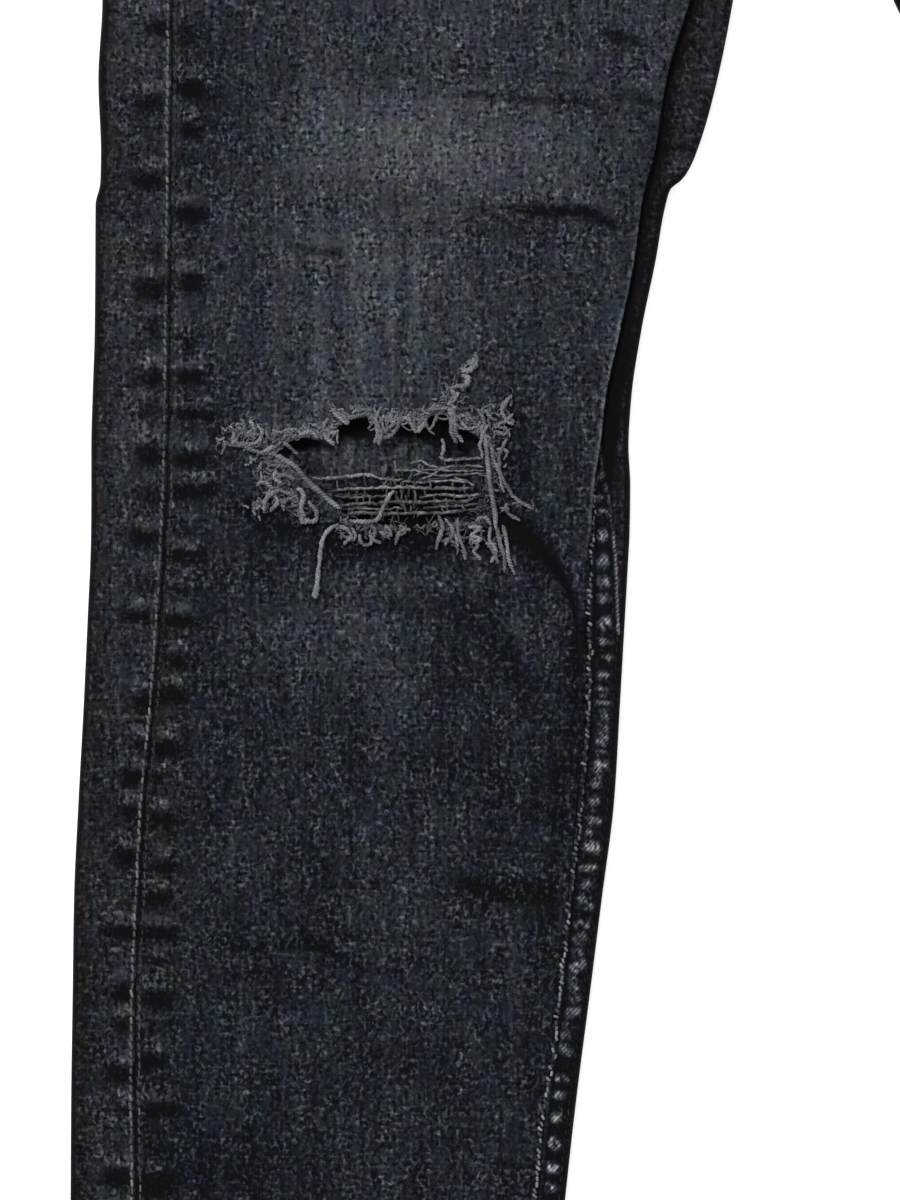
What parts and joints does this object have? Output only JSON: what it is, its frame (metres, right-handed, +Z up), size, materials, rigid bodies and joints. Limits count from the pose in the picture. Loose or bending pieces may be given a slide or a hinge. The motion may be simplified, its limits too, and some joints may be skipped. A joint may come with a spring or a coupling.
{
  "type": "ripped jeans",
  "caption": "Long slim-tapered dark denim jeans lying flat, front up, with a frayed horizontal rip across the right knee.",
  "frame": {"origin": "middle of the footprint, on the surface that the jeans lie on", "axes": "+Y from the hems towards the waist, +X towards the wearer's left leg, +Z up from the surface, the front of the jeans facing up"},
  "size_m": [0.5332, 1.0652, 0.0126],
  "materials": {
    "denim_front": "faded dark indigo twill, worn greyer on the thigh",
    "denim_back": "dark indigo twill",
    "denim_trim": "dark indigo twill, stitched",
    "button_metal": "dull aged metal"
  },
  "bodies": {
    "root": {"front_leg_right": "denim_front", "front_leg_left": "denim_front", "back_leg_right": "denim_back", "back_leg_left": "denim_back", "yoke_right": "denim_back", "yoke_left": "denim_back", "waistband": "denim_trim", "fly": "denim_trim", "pocket_facing_right": "denim_trim", "pocket_facing_left": "denim_trim", "back_pocket_right": "denim_trim", "back_pocket_left": "denim_trim", "belt_loop_1": "denim_trim", "belt_loop_2": "denim_trim", "belt_loop_3": "denim_trim", "belt_loop_4": "denim_trim", "belt_loop_5": "denim_trim", "button": "button_metal"}
  },
  "joints": []
}
